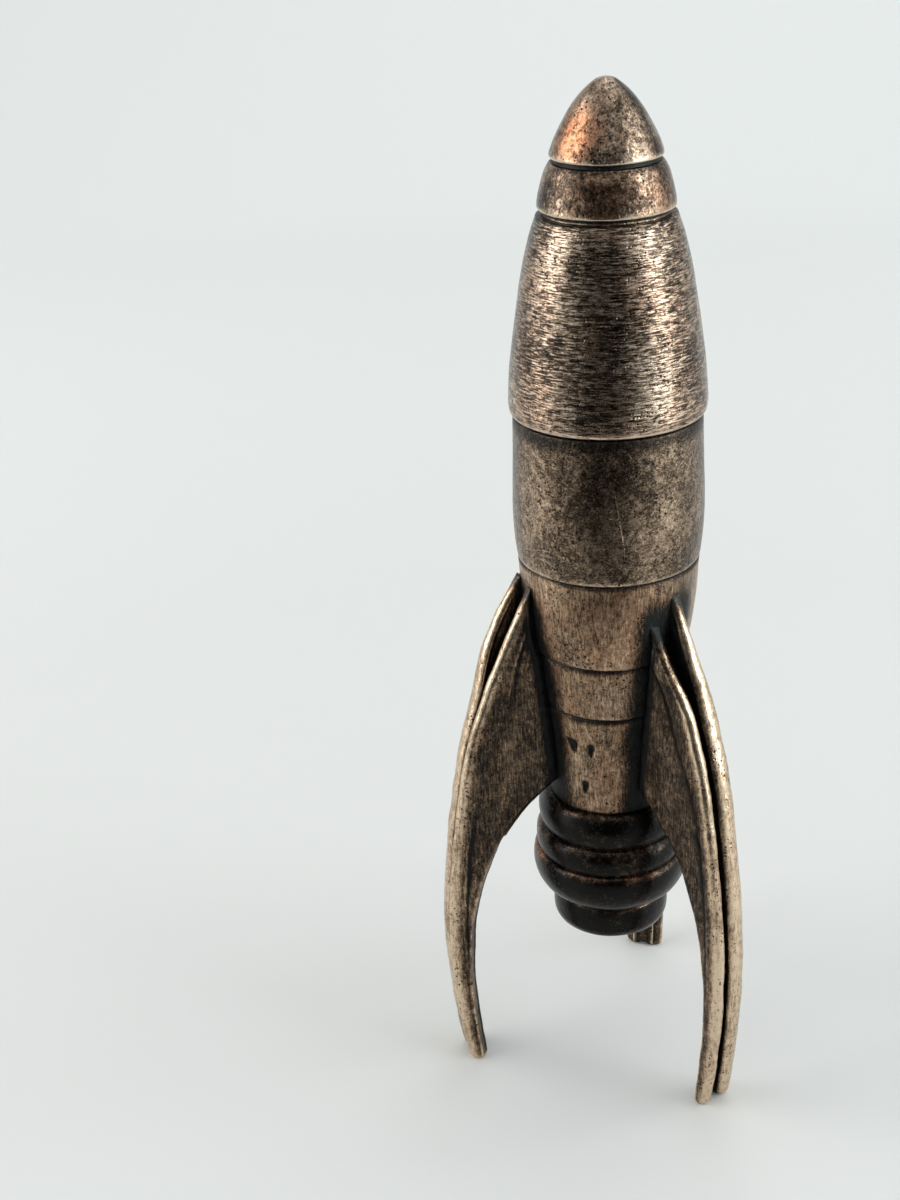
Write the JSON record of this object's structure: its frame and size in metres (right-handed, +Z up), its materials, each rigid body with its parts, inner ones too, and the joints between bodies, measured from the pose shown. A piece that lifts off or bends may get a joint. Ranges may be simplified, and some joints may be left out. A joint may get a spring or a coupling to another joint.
{
  "type": "toy space rocket",
  "caption": "Bullet-shaped space rocket with a tapering hull, ringed nozzle and curved fins that carry it upright; the nose section lifts off a spigot.",
  "frame": {"origin": "on the rocket's axis, at the level of the surface that its feet stand on", "axes": "+Z up along the axis towards the tip; +Y towards the fin at the back"},
  "size_m": [0.0636, 0.058, 0.2],
  "materials": {
    "nose_bronze": "antique bronze patina, rubbed bright on the edges, copper-red at the nose",
    "upper_bronze": "antique bronze patina with fine brush dashes round the hull",
    "middle_bronze": "antique bronze patina, darker, pitted and lightly scratched",
    "lower_bronze": "antique bronze patina, finely brushed and speckled, dark in the recesses",
    "fin_bronze": "antique bronze patina, brushed along the fin, rims rubbed bright and pitted",
    "fin_channel": "near-black patina left in the channel",
    "dark_nozzle": "near-black patina with copper-brown worn patches",
    "plain_brass": "plain turned brass",
    "fastener_steel": "bright steel"
  },
  "bodies": {
    "airframe": {"middle_hull": "middle_bronze", "lower_hull": "lower_bronze", "waist_sleeve": "lower_bronze", "tail_sleeve": "lower_bronze", "spigot_plug": "plain_brass", "nozzle_core": "dark_nozzle", "nozzle_collar": "dark_nozzle", "nozzle_band": "dark_nozzle", "nozzle_bell": "dark_nozzle", "exit_ring": "dark_nozzle", "tie_rod": "fastener_steel", "tie_rod_nuts": "fastener_steel", "tie_rod_washers": "fastener_steel", "fin_pins": "fastener_steel", "fin_1_left_cheek": "fin_bronze", "fin_1_right_cheek": "fin_bronze", "fin_1_web": "fin_channel", "fin_2_left_cheek": "fin_bronze", "fin_2_right_cheek": "fin_bronze", "fin_2_web": "fin_channel", "fin_3_left_cheek": "fin_bronze", "fin_3_right_cheek": "fin_bronze", "fin_3_web": "fin_channel"},
    "nose_section": {"nose_cone": "nose_bronze", "neck_ring": "nose_bronze", "upper_hull": "upper_bronze", "nose_stud": "fastener_steel", "nose_nut": "fastener_steel", "nose_washer": "fastener_steel"}
  },
  "joints": [
    {"name": "nose_section_lift", "type": "slide", "parent": "airframe", "child": "nose_section", "axis": [0, 0, 1], "range_m": [0, 0.03]}
  ]
}
